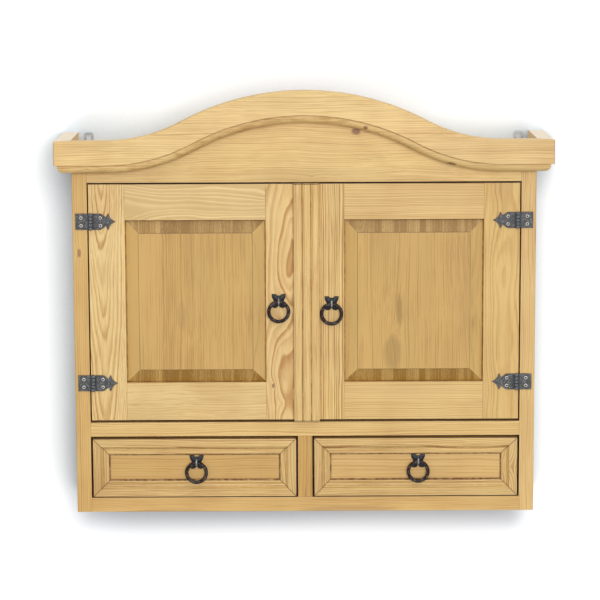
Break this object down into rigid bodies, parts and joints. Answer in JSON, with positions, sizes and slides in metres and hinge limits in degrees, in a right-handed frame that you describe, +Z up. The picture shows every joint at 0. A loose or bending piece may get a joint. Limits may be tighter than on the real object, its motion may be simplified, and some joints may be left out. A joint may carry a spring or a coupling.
{
  "type": "wall cabinet",
  "caption": "Wall-hung pine cabinet in rustic style with an arched cornice, panelled doors over drawers, forged ring pulls and hanging loops.",
  "frame": {"origin": "on the floor of the overall box, in the middle of its width and depth", "axes": "+Z up, +X to the right seen from the front, the front faces -Y and the back hangs on a wall at +Y"},
  "size_m": [0.92, 0.2, 0.7944],
  "materials": {
    "pine": "clear satin wax on sanded pine",
    "plywood": "bare sanded plywood",
    "beech": "bare turned beech",
    "black_iron": "forged, blackened and waxed",
    "zinc": "zinc plated",
    "nickel": "nickel plated"
  },
  "bodies": {
    "carcass": {"arch_rail": "pine", "back_panel": "plywood", "bottom_board": "pine", "carcass_dowels": "beech", "catch_magnets": "nickel", "cornice_front": "pine", "cornice_return_left": "pine", "cornice_return_right": "pine", "door_stop": "pine", "drawer_divider": "pine", "frame_hinge_leaves": "black_iron", "frame_hinge_screws": "black_iron", "hanger_screws": "zinc", "hinge_pins": "black_iron", "middle_board": "pine", "shelf": "pine", "shelf_pins": "zinc", "side_left": "pine", "side_right": "pine", "top_board": "pine", "wall_hangers": "zinc"},
    "door_left": {"door_left_bottom_rail": "pine", "door_left_catch_strike": "zinc", "door_left_hinge_leaves": "black_iron", "door_left_hinge_screws": "black_iron", "door_left_hinge_stile": "pine", "door_left_meeting_reeds": "pine", "door_left_meeting_stile": "pine", "door_left_panel": "pine", "door_left_pull_mount": "black_iron", "door_left_top_rail": "pine"},
    "ring_door_left": {"door_left_pull_ring": "black_iron"},
    "drawer_left": {"drawer_left_back": "pine", "drawer_left_bottom": "plywood", "drawer_left_front": "pine", "drawer_left_moulding": "pine", "drawer_left_pull_mount": "black_iron", "drawer_left_side_left": "pine", "drawer_left_side_right": "pine"},
    "ring_drawer_left": {"drawer_left_pull_ring": "black_iron"},
    "door_right": {"door_right_bottom_rail": "pine", "door_right_catch_strike": "zinc", "door_right_hinge_leaves": "black_iron", "door_right_hinge_screws": "black_iron", "door_right_hinge_stile": "pine", "door_right_meeting_reeds": "pine", "door_right_meeting_stile": "pine", "door_right_panel": "pine", "door_right_pull_mount": "black_iron", "door_right_top_rail": "pine"},
    "ring_door_right": {"door_right_pull_ring": "black_iron"},
    "drawer_right": {"drawer_right_back": "pine", "drawer_right_bottom": "plywood", "drawer_right_front": "pine", "drawer_right_moulding": "pine", "drawer_right_pull_mount": "black_iron", "drawer_right_side_left": "pine", "drawer_right_side_right": "pine"},
    "ring_drawer_right": {"drawer_right_pull_ring": "black_iron"}
  },
  "joints": [
    {"name": "door_left_hinge", "type": "hinge", "parent": "carcass", "child": "door_left", "pos_m": [-0.3955, -0.0738, 0.39875], "axis": [0, 0, -1], "range_deg": [0, 170]},
    {"name": "drawer_left_slide", "type": "slide", "parent": "carcass", "child": "drawer_left", "axis": [0, -1, 0], "range_m": [0, 0.13]},
    {"name": "door_right_hinge", "type": "hinge", "parent": "carcass", "child": "door_right", "pos_m": [0.3955, -0.0738, 0.39875], "axis": [0, 0, 1], "range_deg": [0, 170]},
    {"name": "drawer_right_slide", "type": "slide", "parent": "carcass", "child": "drawer_right", "axis": [0, -1, 0], "range_m": [0, 0.13]},
    {"name": "ring_door_left_swing", "type": "hinge", "parent": "door_left", "child": "ring_door_left", "pos_m": [-0.0482, -0.0782, 0.4017], "axis": [-1, 0, 0], "range_deg": [-6, 180]},
    {"name": "ring_drawer_left_swing", "type": "hinge", "parent": "drawer_left", "child": "ring_drawer_left", "pos_m": [-0.2047, -0.0702, 0.0939], "axis": [-1, 0, 0], "range_deg": [0, 150]},
    {"name": "ring_door_right_swing", "type": "hinge", "parent": "door_right", "child": "ring_door_right", "pos_m": [0.0503, -0.0782, 0.397], "axis": [-1, 0, 0], "range_deg": [-6, 180]},
    {"name": "ring_drawer_right_swing", "type": "hinge", "parent": "drawer_right", "child": "ring_drawer_right", "pos_m": [0.2128, -0.0702, 0.0946], "axis": [-1, 0, 0], "range_deg": [0, 150]}
  ]
}
